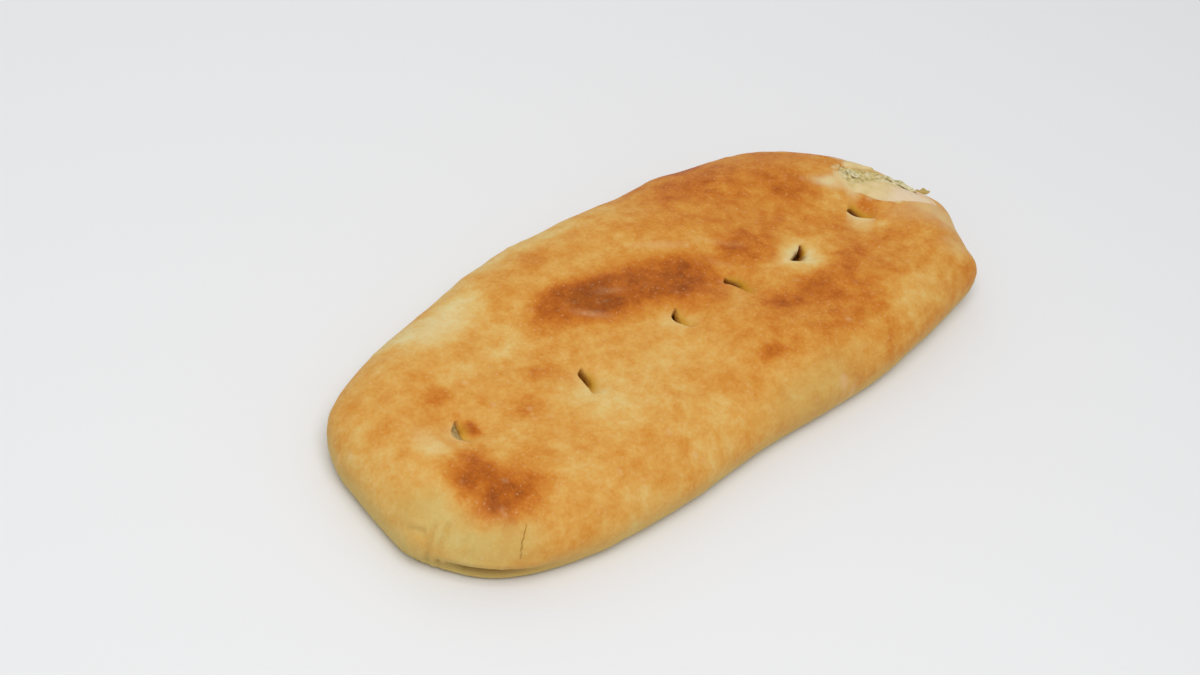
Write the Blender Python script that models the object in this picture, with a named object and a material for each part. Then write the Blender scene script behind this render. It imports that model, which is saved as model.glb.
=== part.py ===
"""A khachapuri: an oblong flatbread of browned dough with a cheese and herb filling all through it.

The crust is one closed envelope of dough. Its plan is a squared oval whose reach swells and shrinks in
a few slow waves and short bumps, its edge is rounded over, and its top carries low swells. Six crescent
snips stand in a row along the middle, each through the top layer. At the +X end the seam has torn open,
and the filling, a slab that fills the pocket inside the crust, swells up into that torn mouth. Herb
leaves lie in the mouth and over its rim.

Frame: metres, +X along the bread towards the torn end, +Z up, origin under the middle of the bread.
"""

import math
from collections import namedtuple
from functools import partial

import bmesh
import bpy
import numpy as np

# Plan of the bread at its widest, with each wave of the edge as its count, size and angle in degrees
HALF_LENGTH = 0.1384
HALF_WIDTH = 0.0605
SQUARENESS = 3.0
EDGE_WAVES = (
    (2, 0.008, 117),
    (3, 0.034, 265),
    (4, 0.011, 283),
    (5, 0.009, 93),
    (6, 0.008, 247),
    (8, 0.010, 76),
)
PLAN_CENTRE = (0.00056, -0.00185)
SPINE_SHARE = 0.62

# Short bumps and hollows of the edge: angle and spread in degrees, and size as a share of the reach
EDGE_BUMPS = (
    (344, 7, 0.018),
    (333, 12, -0.040),
    (319, 4.5, 0.026),
    (292, 6, 0.010),
    (271, 8, -0.014),
    (252, 7, 0.018),
    (200, 9, 0.015),
    (148, 7, 0.007),
    (113, 7, -0.012),
    (90, 7, -0.012),
    (70, 6, 0.018),
)

# Section through the crust
THICKNESS = 0.024
WIDEST_HEIGHT = 0.0095
SHOULDER_SHARE = 0.42
SHOULDER_POWER = 2.0
UNDERSIDE_SHARE = 0.10
UNDERSIDE_POWER = 2.2
LID = 0.0048
FLOOR = 0.0048
POCKET_SHARE = 0.89
POCKET_EDGE = 0.24
POCKET_EDGE_HEIGHT = 0.0105
CLEARANCE = 0.0003

# Low swells of the top: length along X, length along Y, height, angle of the wave in degrees
SWELLS = ((0.150, 0.210, 0.0006, 40), (0.083, -0.120, 0.0005, 200), (0.060, 0.075, 0.0004, 310))
TROUGH_DEPTH = 0.0008
TROUGH_HALF_WIDTH = 0.016

# Snips along the middle: middle of the chord, its length and its turn from the Y axis in degrees, bow and
# gap at the middle, and how far each of these two leans towards the +Y tail
Snip = namedtuple("Snip", "x y length turn bow lean gap gap_lean")
SNIPS = (
    Snip(0.1005, -0.0057, 0.0110, 34.8, 0.0017, 0.4, 0.0024, 1.5),
    Snip(0.0639, -0.0095, 0.0090, -9.1, 0.0069, -1.4, 0.0036, -0.8),
    Snip(0.0280, -0.0083, 0.0127, 7.1, 0.0004, 3.6, 0.0019, 1.8),
    Snip(-0.0012, -0.0083, 0.0105, -9.9, 0.0035, 0.5, 0.0024, 0.8),
    Snip(-0.0522, -0.0116, 0.0129, -21.6, 0.0009, 1.7, 0.0022, 1.2),
    Snip(-0.1014, -0.0048, 0.0110, -7.1, 0.0046, -0.2, 0.0033, 0.0),
)
SNIP_DIP = 0.0018
SNIP_DIP_RADIUS = 0.009
SNIP_REACH = 0.0016
CUTTER_TOP = 0.028

# Torn mouth in the seam at the +X end: ends of its chord, and how far it reaches to either side of it
MOUTH_START = (0.1150, 0.0283)
MOUTH_END = (0.1310, -0.0187)
MOUTH_INWARD = 0.0140
MOUTH_OUTWARD = 0.0086
MOUTH_FLOOR = 0.0100
MOUTH_SLUMP = 0.0018
MOUTH_SLUMP_RADIUS = 0.018
TIP_INSET = 2.5

# Filling in the mouth: its height at the lip and at the rim, and the low lumps on it
LIP_HEIGHT = 0.0212
RIM_HEIGHT = 0.0174
FALL_POWER = 1.5
LUMP_HEIGHT = 0.0005
LUMPS_ALONG = 9.0
LUMPS_ACROSS = 7.0

# Fold low on the edge at the -X end, where the top layer hangs over the bottom one
FOLD_ANGLE = 217
FOLD_SPREAD = 9
FOLD_DEPTH = 0.0034
FOLD_HEIGHT = 0.0050
FOLD_BAND = 0.0018

# Herb leaves in the mouth's own directions: start and end, each along and across it, width at the
# middle, and how far the leaf is lifted off the filling at its start and at its end
LEAF_THICKNESS = 0.0005
LEAF_POINT = 0.14
LEAF_WAVE = 0.0002
LEAF_WAVES = 1.5
LEAVES = {
    "herb_leaf_long": ((0.02, 0.90), (0.58, 0.92), 0.0030, (0.0004, 0.0008)),
    "herb_leaf_tip": ((0.64, 1.02), (0.79, 1.42), 0.0032, (0.0012, 0.0020)),
    "herb_leaf_small": ((-0.50, 0.42), (-0.27, 0.45), 0.0030, (0.0005, 0.0005)),
}

# Steps of the meshes
CRUST_AROUND = 128
POCKET_AROUND = 96
TOP_SHARES = (0.0, 0.12, 0.24, 0.36, 0.48)
BASE_SHARES = (0.5, 0.0)
SHOULDER_STEPS = 8
UNDERSIDE_STEPS = 5
POCKET_TOP_STEPS = 3
POCKET_EDGE_STEPS = 8
SNIP_STEPS = (14, 1)
MOUTH_STEPS = (24, 1)
PLUG_STEPS = (20, 8)
LEAF_STEPS = 16


def clear_scene():
    """Remove whatever the scene holds."""
    for thing in list(bpy.data.objects):
        bpy.data.objects.remove(thing, do_unlink=True)


def material(name, colour, roughness):
    """A plain finish of one colour."""
    made = bpy.data.materials.new(name)
    made.use_nodes = True
    shader = made.node_tree.nodes["Principled BSDF"]
    shader.inputs["Base Color"].default_value = (*colour, 1.0)
    shader.inputs["Roughness"].default_value = roughness
    shader.inputs["Metallic"].default_value = 0.0
    return made


def add_mesh(name, points, faces, finish=None):
    """An object of these points and faces, its double points merged and its faces turned outwards."""
    mesh = bpy.data.meshes.new(name)
    mesh.from_pydata(points.tolist(), [], faces)
    work = bmesh.new()
    work.from_mesh(mesh)
    bmesh.ops.remove_doubles(work, verts=work.verts, dist=1e-6)
    bmesh.ops.dissolve_degenerate(work, dist=1e-7, edges=work.edges)
    bmesh.ops.recalc_face_normals(work, faces=work.faces)
    work.to_mesh(mesh)
    work.free()
    mesh.shade_smooth()
    mesh.set_sharp_from_angle(angle=math.radians(40))
    made = bpy.data.objects.new(name, mesh)
    bpy.context.scene.collection.objects.link(made)
    if finish:
        mesh.materials.append(finish)
    return made


def plan_reach(turn):
    """Reach of the squared oval at each turn, before its waves."""
    return (np.abs(np.cos(turn)) ** SQUARENESS + np.abs(np.sin(turn)) ** SQUARENESS) ** (-1 / SQUARENESS)


def outline(turn):
    """Plan of the widest part: the squared oval, swelled and drawn in by its waves and its bumps."""
    waves = sum(size * np.cos(count * turn - math.radians(angle)) for count, size, angle in EDGE_WAVES)
    degrees = np.degrees(turn)
    bumps = sum(size * np.exp(-(((degrees - angle) / spread) ** 2)) for angle, spread, size in EDGE_BUMPS)
    reach = plan_reach(turn) * (1 + waves + bumps)
    x = PLAN_CENTRE[0] + HALF_LENGTH * reach * np.cos(turn)
    y = PLAN_CENTRE[1] + HALF_WIDTH * reach * np.sin(turn)
    return np.stack([x, y], axis=-1)


def spine(turn):
    """The middle line that the rings close on: both sides meet it at the same places."""
    x = PLAN_CENTRE[0] + SPINE_SHARE * HALF_LENGTH * plan_reach(turn) * np.cos(turn)
    return np.stack([x, np.full_like(x, PLAN_CENTRE[1])], axis=-1)


def ring(turn, share, drawn_in=0.0):
    """Plan points at a share of the way from the middle line to the outline, then drawn in by a length."""
    middle = spine(turn)
    way = outline(turn) - middle
    far = np.linalg.norm(way, axis=-1, keepdims=True)
    return middle + way * np.maximum(share - drawn_in / far, 0.0)


def level(plan, height):
    """These plan points with one height, or with a height for each."""
    return np.column_stack([plan, np.broadcast_to(height, len(plan))])


def loaf(plan):
    """Height of the bread before its dips: the thickness, low swells and a trough along the middle."""
    x = plan[..., 0]
    y = plan[..., 1]
    height = np.full(x.shape, THICKNESS)
    for along, across, size, angle in SWELLS:
        height += size * np.cos(2 * np.pi * (x / along + y / across) - math.radians(angle))
    return height - TROUGH_DEPTH * np.exp(-(((y - PLAN_CENTRE[1]) / TROUGH_HALF_WIDTH) ** 2))


def dip(plan, middle, radius):
    """A soft round hollow, 1 deep at its middle."""
    away = ((plan - np.array(middle)) ** 2).sum(axis=-1) / radius**2
    return np.exp(-away)


def crown(plan):
    """Height of the top skin: the loaf less a dip round each snip and the slump at the torn mouth."""
    height = loaf(plan)
    for snip in SNIPS:
        height -= SNIP_DIP * dip(plan, (snip.x, snip.y), SNIP_DIP_RADIUS)
    mouth_middle = (np.array(MOUTH_START) + np.array(MOUTH_END)) / 2
    return height - MOUTH_SLUMP * dip(plan, mouth_middle, MOUTH_SLUMP_RADIUS)


def fold(turn, height):
    """How far the edge is drawn in at the fold: a groove along the edge that fades at both ends."""
    away = (np.degrees(turn) - FOLD_ANGLE) / FOLD_SPREAD
    across = (height - FOLD_HEIGHT) / FOLD_BAND
    return FOLD_DEPTH * np.exp(-(away**2) - across**2)[:, None]


def closed_rings(name, rings, finish=None):
    """A closed body of rings that run from the middle line on top, round the edge, to the middle line
    underneath. The first and last rings close on themselves when their double points merge."""
    around = len(rings[0])
    faces = []
    for row in range(len(rings) - 1):
        for step in range(around):
            near = row * around + step
            beside = row * around + (step + 1) % around
            faces.append((near, near + around, beside + around, beside))
    return add_mesh(name, np.concatenate(rings), faces, finish)


def crust_rings():
    """Top skin to the shoulder, over the shoulder to the widest place, and under the edge to the base."""
    turn = np.linspace(0, 2 * np.pi, CRUST_AROUND, endpoint=False)
    rings = []
    for share in TOP_SHARES:
        plan = ring(turn, share)
        rings.append(level(plan, crown(plan)))
    for angle in np.linspace(0, np.pi / 2, SHOULDER_STEPS + 1):
        share = 1 - SHOULDER_SHARE * (1 - math.sin(angle) ** (2 / SHOULDER_POWER))
        rise = crown(ring(turn, share)) - WIDEST_HEIGHT
        height = WIDEST_HEIGHT + rise * math.cos(angle) ** (2 / SHOULDER_POWER)
        rings.append(level(ring(turn, share, fold(turn, height)), height))
    for angle in np.linspace(0, np.pi / 2, UNDERSIDE_STEPS + 1)[1:]:
        share = 1 - UNDERSIDE_SHARE * (1 - math.cos(angle) ** (2 / UNDERSIDE_POWER))
        height = WIDEST_HEIGHT * (1 - math.sin(angle) ** (2 / UNDERSIDE_POWER))
        rings.append(level(ring(turn, share, fold(turn, height)), height))
    for share in BASE_SHARES:
        rings.append(level(ring(turn, share), 0.0))
    return rings


def pocket_rings(gap):
    """The space inside the crust, drawn in by a gap on every side: a slab with a rounded edge."""
    turn = np.linspace(0, 2 * np.pi, POCKET_AROUND, endpoint=False)
    inner = POCKET_SHARE - POCKET_EDGE
    rings = []
    for step in range(POCKET_TOP_STEPS):
        plan = ring(turn, inner * step / POCKET_TOP_STEPS, gap)
        rings.append(level(plan, loaf(plan) - LID - gap))
    for angle in np.linspace(0, np.pi, POCKET_EDGE_STEPS + 1):
        plan = ring(turn, inner + POCKET_EDGE * math.sin(angle), gap)
        face = loaf(ring(turn, inner, gap)) - LID - gap if angle < np.pi / 2 else FLOOR + gap
        rings.append(level(plan, POCKET_EDGE_HEIGHT + (face - POCKET_EDGE_HEIGHT) * abs(math.cos(angle))))
    rings.append(level(ring(turn, 0.0), FLOOR + gap))
    return rings


def lens_plan(chord, sides, along, across):
    """Plan points of a lens on a chord. Along runs from -1 to 1 on the chord, across from 0 on the first
    side to 1 on the second. The sides are a function of the place along, and say how far each of them
    stands out to the right of the chord, or to its left where they are negative."""
    start = np.array(chord[0])
    half = (np.array(chord[1]) - start) / 2
    right = np.array([half[1], -half[0]]) / np.linalg.norm(half)
    first, second = sides(along)
    bulge = first * (1 - across) + second * across
    return start + (1 + along)[..., None] * half + bulge[..., None] * right


def mouth_sides(along, gap=0.0):
    """Lip and rim of the mouth: two parabolas, drawn in by a gap."""
    within = 1 - along**2
    return (MOUTH_INWARD - gap) * within, (gap - MOUTH_OUTWARD) * within


def snip_sides(along, snip):
    """Lip and tongue of a snip: a parabola, and one that falls back from it by the gap, both skewed."""
    within = 1 - along**2
    lip = snip.bow * within * np.exp(-snip.lean * along)
    return lip, lip - snip.gap * within * np.exp(-snip.gap_lean * along)


def lens_block(name, chord, sides, top, bottom, steps, finish=None):
    """A block whose plan is a lens, with a level bottom and a top whose height is a function of the
    place along and across the lens."""
    along_steps, across_steps = steps
    along, across = np.meshgrid(
        np.linspace(-1, 1, along_steps + 1), np.linspace(0, 1, across_steps + 1), indexing="ij"
    )
    plan = lens_plan(chord, sides, along, across).reshape(-1, 2)
    count = len(plan)
    wide = across_steps + 1
    faces = []
    for row in range(along_steps):
        for column in range(across_steps):
            corner = row * wide + column
            quad = (corner, corner + 1, corner + wide + 1, corner + wide)
            faces.append(quad)
            faces.append(tuple(count + point for point in reversed(quad)))
        for column in (0, across_steps):
            corner = row * wide + column
            faces.append((corner, corner + wide, count + corner + wide, count + corner))
    points = np.concatenate([level(plan, top(along, across).ravel()), level(plan, bottom)])
    return add_mesh(name, points, faces, finish)


def cutter_top(along, _):
    """The level top of every cutter, clear above the bread."""
    return np.full(along.shape, CUTTER_TOP)


def mouth_fill(along, across):
    """Height of the filling in the mouth: it falls from the lip to the rim, with low lumps on it, and is
    level across at the two ends."""
    middle = (LIP_HEIGHT + RIM_HEIGHT) / 2
    slope = LIP_HEIGHT + (RIM_HEIGHT - LIP_HEIGHT) * across**FALL_POWER - middle
    lumps = LUMP_HEIGHT * np.sin(LUMPS_ALONG * along) * np.cos(LUMPS_ACROSS * across)
    return middle + (slope + lumps) * (1 - along**4)


def mouth_block(name, gap, top, bottom, steps, finish=None):
    """A block of the mouth's plan, drawn in by a gap, and by more than that at its two sharp ends."""
    start = np.array(MOUTH_START)
    end = np.array(MOUTH_END)
    inset = TIP_INSET * gap * (end - start) / np.linalg.norm(end - start)
    sides = partial(mouth_sides, gap=gap)
    return lens_block(name, (start + inset, end - inset), sides, top, bottom, steps, finish)


def snip_cutters():
    """A crescent blade for each snip, down through the top layer and a little way into the pocket. Its
    chord runs from the +Y tail to the -Y tail, and it bows towards -X."""
    cutters = []
    for number, snip in enumerate(SNIPS, start=1):
        half_x = math.sin(math.radians(snip.turn)) * snip.length / 2
        half_y = -math.cos(math.radians(snip.turn)) * snip.length / 2
        chord = ((snip.x - half_x, snip.y - half_y), (snip.x + half_x, snip.y + half_y))
        floor = float(loaf(np.array([snip.x, snip.y]))) - LID - SNIP_REACH
        name = f"snip_cutter_{number}"
        sides = partial(snip_sides, snip=snip)
        cutters.append(lens_block(name, chord, sides, cutter_top, floor, SNIP_STEPS))
    return cutters


def combine(body, other, operation="DIFFERENCE"):
    """Take another body from this one, or join it on, and keep the other out of the renders."""
    change = body.modifiers.new(other.name, "BOOLEAN")
    change.operation = operation
    change.solver = "EXACT"
    change.object = other
    other.hide_render = True
    other.display_type = "WIRE"


def crust(finish):
    """The dough envelope: outer form less the pocket, the torn mouth and the snips."""
    body = closed_rings("crust", crust_rings(), finish)
    combine(body, closed_rings("pocket_cutter", pocket_rings(0.0)))
    combine(body, mouth_block("mouth_cutter", 0.0, cutter_top, MOUTH_FLOOR, MOUTH_STEPS))
    for cutter in snip_cutters():
        combine(body, cutter)
    return body


def filling(finish):
    """The slab of filling, joined to the part of it that swells up into the torn mouth."""
    body = closed_rings("filling", pocket_rings(CLEARANCE), finish)
    plug = mouth_block("mouth_filling", CLEARANCE, mouth_fill, MOUTH_FLOOR + CLEARANCE, PLUG_STEPS)
    combine(body, plug, "UNION")
    return body


def leaf_middle(start, end, lift):
    """Middle line of a leaf's lower face: a straight way over the mouth, lifted off the filling."""
    share = np.linspace(0, 1, LEAF_STEPS + 1)
    along = start[0] + (end[0] - start[0]) * share
    across = start[1] + (end[1] - start[1]) * share
    plan = lens_plan((MOUTH_START, MOUTH_END), mouth_sides, along, across)
    return level(plan, mouth_fill(along, across) + CLEARANCE + lift[0] + (lift[1] - lift[0]) * share)


def leaf(name, start, end, width, lift, finish):
    """A thin wavy strip three points wide, pointed at both ends, its two faces split alike."""
    middle = leaf_middle(start, end, lift)
    run = np.gradient(middle[:, :2], axis=0)
    run /= np.linalg.norm(run, axis=1, keepdims=True)
    left = np.stack([-run[:, 1], run[:, 0]], axis=-1)
    share = np.linspace(-1, 1, LEAF_STEPS + 1)[:, None]
    side = np.array([[-1.0, 0.0, 1.0]])
    offset = width / 2 * side * np.sqrt(np.maximum(1 - share**2, LEAF_POINT**2))
    plan = middle[:, None, :2] + offset[..., None] * left[:, None, :]
    height = middle[:, 2:] + LEAF_WAVE * np.sin(2 * np.pi * LEAF_WAVES * share + side)
    plan = plan.reshape(-1, 2)
    points = np.concatenate([level(plan, height.ravel()), level(plan, height.ravel() + LEAF_THICKNESS)])
    count = len(plan)
    faces = []
    for row in range(LEAF_STEPS):
        for column in range(2):
            corner = 3 * row + column
            for triangle in ((corner, corner + 1, corner + 4), (corner, corner + 4, corner + 3)):
                faces.append(triangle)
                faces.append(tuple(count + point for point in reversed(triangle)))
        for corner in (3 * row, 3 * row + 2):
            faces.append((corner, corner + 3, count + corner + 3, count + corner))
    for corner in (0, 1, 3 * LEAF_STEPS, 3 * LEAF_STEPS + 1):
        faces.append((corner, corner + 1, count + corner + 1, count + corner))
    return add_mesh(name, points, faces, finish)


def main():
    """Build the crust, the filling and the herb leaves."""
    clear_scene()
    crust(material("baked_dough", (0.62, 0.31, 0.08), 0.55))
    filling(material("cheese_and_herbs", (0.55, 0.50, 0.28), 0.6))
    herb = material("herb_leaf", (0.20, 0.21, 0.05), 0.5)
    for name, (start, end, width, lift) in LEAVES.items():
        leaf(name, start, end, width, lift, herb)


main()
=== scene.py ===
"""A khachapuri, dressed: browned dough, torn seam, cheese and herb filling, on a plain pale floor.

Every piece is a closed surface worked out with numpy as a grid of points whose columns close on
themselves and whose first and last rows shut. Lengths are in metres, +X runs along the bread towards the
torn end and +Z is up. The form of the bread repeats the solid's own values, and the skin's relief,
the bake and the other finishes are worked out from places on it.
"""

import itertools
import math
from collections import namedtuple
from functools import partial

import bmesh
import bpy
import numpy as np
from mathutils import Matrix, Vector


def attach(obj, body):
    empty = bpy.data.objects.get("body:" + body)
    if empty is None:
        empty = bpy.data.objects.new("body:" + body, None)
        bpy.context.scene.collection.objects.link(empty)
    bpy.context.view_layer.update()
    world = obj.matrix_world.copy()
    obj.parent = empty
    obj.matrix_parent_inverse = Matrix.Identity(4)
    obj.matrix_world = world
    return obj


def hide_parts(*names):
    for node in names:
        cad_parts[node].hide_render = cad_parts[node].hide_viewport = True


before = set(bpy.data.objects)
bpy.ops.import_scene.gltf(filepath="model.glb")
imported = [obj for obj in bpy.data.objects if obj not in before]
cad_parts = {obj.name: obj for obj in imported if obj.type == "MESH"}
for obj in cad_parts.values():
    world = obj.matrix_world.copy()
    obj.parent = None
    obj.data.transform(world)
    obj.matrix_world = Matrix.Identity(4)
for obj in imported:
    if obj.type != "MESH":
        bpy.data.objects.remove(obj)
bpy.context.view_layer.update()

# Plan of the bread at its widest, with each wave of the edge as its count, size and angle in degrees
HALF_LENGTH = 0.1384
HALF_WIDTH = 0.0605
SQUARENESS = 3.0
EDGE_WAVES = (
    (2, 0.008, 117),
    (3, 0.034, 265),
    (4, 0.011, 283),
    (5, 0.009, 93),
    (6, 0.008, 247),
    (8, 0.01, 76),
)
PLAN_CENTRE = (0.00056, -0.00185)
SPINE_SHARE = 0.62

# Short bumps and hollows of the edge: angle and spread in degrees, and size as a share of the reach
EDGE_BUMPS = (
    (344, 7, 0.018),
    (333, 12, -0.04),
    (319, 4.5, 0.026),
    (292, 6, 0.01),
    (271, 8, -0.014),
    (252, 7, 0.018),
    (200, 9, 0.015),
    (148, 7, 0.007),
    (113, 7, -0.012),
    (90, 7, -0.012),
    (70, 6, 0.018),
)

# Section through the bread
THICKNESS = 0.024
WIDEST_HEIGHT = 0.0095
SHOULDER_SHARE = 0.42
SHOULDER_POWER = 2.0
UNDERSIDE_SHARE = 0.1
UNDERSIDE_POWER = 2.2
LID = 0.0048
FLOOR = 0.0048
POCKET_SHARE = 0.89
POCKET_EDGE = 0.24
POCKET_EDGE_HEIGHT = 0.0105
CLEARANCE = 0.0003

# Low swells of the top: length along X, length along Y, height, angle of the wave in degrees
SWELLS = ((0.15, 0.21, 0.0006, 40), (0.083, -0.12, 0.0005, 200), (0.06, 0.075, 0.0004, 310))
TROUGH_DEPTH = 0.0008
TROUGH_HALF_WIDTH = 0.016

# Snips: middle of the chord, its length and its turn from the Y axis in degrees, bow and gap at the middle,
# how far each of these two leans towards the +Y tail, the tongue's drop, how strong the painted shade in and
# beside its cut is, and how pale its lip is
Snip = namedtuple("Snip", "x y length turn bow lean gap gap_lean drop dark pale")
SNIPS = (
    Snip(0.1005, -0.0057, 0.011, 34.8, 0.0017, 0.4, 0.0024, 1.5, 0.0026, 0.9, 0.95),
    Snip(0.0639, -0.0095, 0.009, -9.1, 0.0069, -1.4, 0.0036, -0.8, 0.0026, 1.0, 0.8),
    Snip(0.028, -0.0083, 0.0127, 7.1, 0.0004, 3.6, 0.0019, 1.8, 0.0029, 0.85, 0.1),
    Snip(-0.0012, -0.0083, 0.0105, -9.9, 0.0035, 0.5, 0.0024, 0.8, 0.0028, 0.65, 0.2),
    Snip(-0.0522, -0.0116, 0.0129, -21.6, 0.0009, 1.7, 0.0022, 1.2, 0.0029, 0.75, 0.2),
    Snip(-0.1014, -0.0048, 0.011, -7.1, 0.0046, -0.2, 0.0033, 0.0, 0.0008, 0.48, 0.3),
)
SNIP_DIP = 0.0018
SNIP_DIP_RADIUS = 0.009
SNIP_REACH = 0.0016
PLUG_FLOOR = 0.016
PLUG_SUNK = 0.0006
PLUG_SLOPE = 0.0008
TONGUE_LENGTH = 0.003
LIP_RISE = 0.0003
LIP_WIDTH = 0.0011
STEP_WIDTH = 0.0002
CUTTER_TOP = 0.028

# Torn mouth in the seam at the +X end
MOUTH_CHORD = ((0.115, 0.0283), (0.131, -0.0187))
MOUTH_INWARD = 0.014
MOUTH_OUTWARD = 0.0086
MOUTH_FLOOR = 0.01
MOUTH_SLUMP = 0.0018
MOUTH_SLUMP_RADIUS = 0.018
LIP_HEIGHT = 0.0212
RIM_HEIGHT = 0.0174
FALL_POWER = 1.5

# How far the sides of the mouth and of the snips waver, and over what length
MOUTH_WOBBLE = 0.0007
SNIP_WOBBLE = 0.00025
WOBBLE_SIZE = 0.0035

# Fold low on the edge at the -X end
FOLD_ANGLE = 217
FOLD_SPREAD = 9
FOLD_DEPTH = 0.0034
FOLD_HEIGHT = 0.005
FOLD_BAND = 0.0018

# Layers that stand out above and below the fold: by how much, and how many bands away
FOLD_LAYERS = ((0.0009, 2.2), (0.0012, -1.9))

# Grid of the crust
AROUND = 800
TOP_ROWS = 52
SHOULDER_ROWS = 42
UNDERSIDE_ROWS = 12
BASE_SHARES = (0.7, 0.45, 0.2, 0.0)
POCKET_AROUND = 320
POCKET_ROWS = 24
POCKET_EDGE_ROWS = 16

# Steps or points along and across the other grids
MOUTH_STEPS = (90, 12)
SNIP_STEPS = (48, 3)
MOUTH_PLUG_STEPS = (150, 60)
SNIP_PLUG_STEPS = (40, 8)
LAYER_POINTS = (180, 34)
LEAF_POINTS = (61, 9)
CRACK_POINTS = 40

# Steps after which the lattice of random numbers repeats
LATTICE = 32


def grain(points, size, seed):
    """Smooth random values from -1 to 1: numbers on a lattice of this size, blended between its corners
    with weights 3s² - 2s³ of the share s of the way."""
    place = np.asarray(points) / size + 1000.5
    corner = np.floor(place).astype(int)
    share = place - corner
    ease = share * share * (3 - 2 * share)
    block = np.random.default_rng(seed).random((LATTICE, LATTICE, LATTICE))
    total = 0.0
    for step in itertools.product((0, 1), repeat=3):
        weight = np.prod(np.where(step, ease, 1 - ease), axis=-1)
        at = (corner + step) % LATTICE
        total = total + weight * block[at[..., 0], at[..., 1], at[..., 2]]
    return 2 * total - 1


def grains(points, layers):
    """Sum of grains, each given as its size, strength and seed."""
    return sum(strength * grain(points, size, seed) for size, strength, seed in layers)


def smooth(low, high, value):
    """0 below low, 1 above high, and 3s² - 2s³ of the share s of the way between."""
    share = np.clip((value - low) / (high - low), 0, 1)
    return share * share * (3 - 2 * share)


def arch(value, power=2, least=0.0):
    """√(1 - value^power), from no less than the root of the least."""
    return np.sqrt(np.maximum(1 - value**power, least))


def raised(plan, height=0.0):
    """Plan points with a height."""
    return np.concatenate([plan, np.broadcast_to(height, plan.shape[:-1])[..., None]], axis=-1)


def oblong_reach(turn):
    """Reach of a rounded square of half size 1: (|cos|ⁿ + |sin|ⁿ)^(-1/n)."""
    return (np.abs(np.cos(turn)) ** SQUARENESS + np.abs(np.sin(turn)) ** SQUARENESS) ** (-1 / SQUARENESS)


def outline(turn):
    """Plan of the widest part: the oblong's reach, times one plus the waves and bumps."""
    degrees = np.degrees(turn)
    waves = sum(size * np.cos(count * turn - math.radians(angle)) for count, size, angle in EDGE_WAVES)
    bumps = sum(size * np.exp(-(((degrees - angle) / spread) ** 2)) for angle, spread, size in EDGE_BUMPS)
    reach = oblong_reach(turn) * (1 + waves + bumps)
    x = PLAN_CENTRE[0] + HALF_LENGTH * reach * np.cos(turn)
    y = PLAN_CENTRE[1] + HALF_WIDTH * reach * np.sin(turn)
    return np.stack([x, y], axis=-1)


def spine(turn):
    """The middle line that the rings close on."""
    x = PLAN_CENTRE[0] + SPINE_SHARE * HALF_LENGTH * oblong_reach(turn) * np.cos(turn)
    return np.stack([x, np.full_like(x, PLAN_CENTRE[1])], axis=-1)


def ring(turn, share, drawn_in=0.0):
    """Plan points at a share of the way from the middle line to the outline, then drawn in by a length."""
    middle = spine(turn)
    way = outline(turn) - middle
    far = np.linalg.norm(way, axis=-1)
    return middle + way * np.maximum(share - drawn_in / far, 0.0)[..., None]


def left_of(path):
    """Unit directions to the left of a path, one for each of its plan points."""
    run = np.gradient(path, axis=0)
    return np.stack([-run[:, 1], run[:, 0]], axis=-1) / np.linalg.norm(run, axis=1, keepdims=True)


def dip(plan, middle, radius):
    """A soft round hollow, 1 deep at its middle: e^(-r²)."""
    return np.exp(-((plan - middle) ** 2).sum(axis=-1) / radius**2)


def loaf(plan):
    """Height of the bread before its dips: thickness, low swells and a trough along the middle."""
    x = plan[..., 0]
    y = plan[..., 1]
    height = np.full(x.shape, THICKNESS)
    for along, across, size, angle in SWELLS:
        height += size * np.cos(2 * np.pi * (x / along + y / across) - math.radians(angle))
    return height - TROUGH_DEPTH * np.exp(-(((y - PLAN_CENTRE[1]) / TROUGH_HALF_WIDTH) ** 2))


def chord_of(snip):
    """Ends of a snip's chord, its +Y tail first."""
    half_x = math.sin(math.radians(snip.turn)) * snip.length / 2
    half_y = -math.cos(math.radians(snip.turn)) * snip.length / 2
    return ((snip.x - half_x, snip.y - half_y), (snip.x + half_x, snip.y + half_y))


def chord_frame(chord):
    """Start of a chord, half its run and the direction to its right."""
    start = np.array(chord[0])
    half = (np.array(chord[1]) - start) / 2
    return start, half, np.array([half[1], -half[0]]) / np.linalg.norm(half)


def along_chord(plan, chord):
    """Where plan points lie on a chord: -1 to 1 along it, and metres to its right."""
    start, half, right = chord_frame(chord)
    length = np.linalg.norm(half)
    away = plan - start - half
    return (away @ (half / length)) / length, away @ right


def mouth_sides(along, gap=0.0):
    """Lip and rim of the mouth: two parabolas 1 - along², drawn in by a gap."""
    within = 1 - along**2
    return (MOUTH_INWARD - gap) * within, (gap - MOUTH_OUTWARD) * within


def snip_sides(along, snip):
    """Lip and tongue of a snip: a parabola, and one that falls back from it by the gap, both skewed by
    e^(-lean times along)."""
    within = np.maximum(1 - along**2, 0)
    lip = snip.bow * within * np.exp(-snip.lean * np.clip(along, -1, 1))
    return lip, lip - snip.gap * within * np.exp(-snip.gap_lean * np.clip(along, -1, 1))


def snip_frames(plan):
    """For each snip: place along it, metres behind the middle of its cut on the tongue's side, half the
    cut's width there, and a fade (1 - along²)^0.7 towards its tails."""
    for snip in SNIPS:
        along, right = along_chord(plan, chord_of(snip))
        lip, tongue = snip_sides(along, snip)
        fade = np.maximum(1 - along**2, 0) ** 0.7
        yield snip, along, (lip + tongue) / 2 - right, (lip - tongue) / 2, fade


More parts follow.
